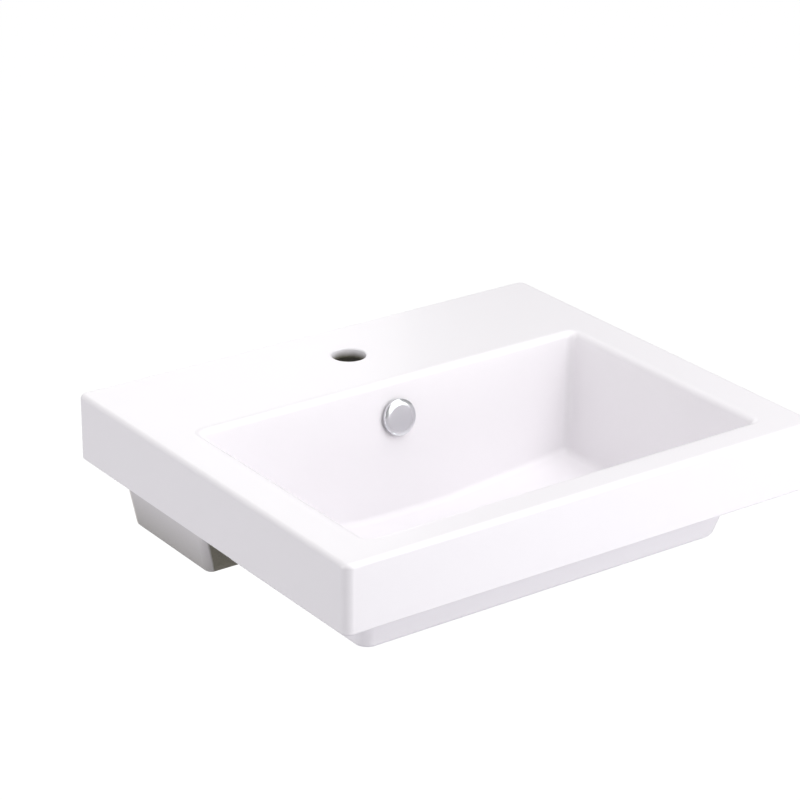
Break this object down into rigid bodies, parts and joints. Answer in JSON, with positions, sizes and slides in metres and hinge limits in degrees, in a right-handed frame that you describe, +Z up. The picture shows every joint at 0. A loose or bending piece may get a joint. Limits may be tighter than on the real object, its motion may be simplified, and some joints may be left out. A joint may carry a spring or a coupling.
{
  "type": "wall-hung basin",
  "caption": "Rectangular white ceramic wall-hung basin with a tap hole, a round chrome overflow cap, a rear apron and a press-to-close waste.",
  "frame": {"origin": "middle of the two wall studs, on the wall face", "axes": "+X to the right seen from the front, +Y into the wall, +Z up; the rim is 110 mm above the origin"},
  "size_m": [0.55, 0.523, 0.2005],
  "materials": {
    "ceramic": "glossy glaze",
    "chrome": "polished plating",
    "brass": "machined",
    "zinc_steel": "zinc plating",
    "spring_steel": "drawn wire and turned steel",
    "rubber": "moulded",
    "white_plastic": "moulded",
    "grey_plastic": "moulded"
  },
  "bodies": {
    "basin": {"basin_rim": "ceramic", "bowl_ledge": "ceramic", "basin_deck": "ceramic", "bowl_shell": "ceramic", "rear_apron": "ceramic", "overflow_cap": "chrome", "overflow_insert": "white_plastic", "overflow_ring": "rubber", "waste_body": "chrome", "flange_gasket": "rubber", "lower_gasket": "rubber", "slip_washer": "grey_plastic", "back_nut": "brass", "cartridge_housing": "grey_plastic", "cartridge_lid": "white_plastic", "cartridge_nut": "brass", "cartridge_spring": "spring_steel", "wall_studs": "zinc_steel", "stud_bushes": "white_plastic", "stud_washers": "zinc_steel", "stud_nuts": "zinc_steel"},
    "plug": {"plug_cap": "chrome", "plug_seal": "rubber", "plug_stem": "spring_steel"}
  },
  "joints": [
    {"name": "plug_slide", "type": "slide", "parent": "basin", "child": "plug", "axis": [0, 0, 1], "range_m": [-0.008, 0], "stiffness_N_per_m": 400, "springref_m": 0.01, "deforming": ["cartridge_spring"]}
  ]
}
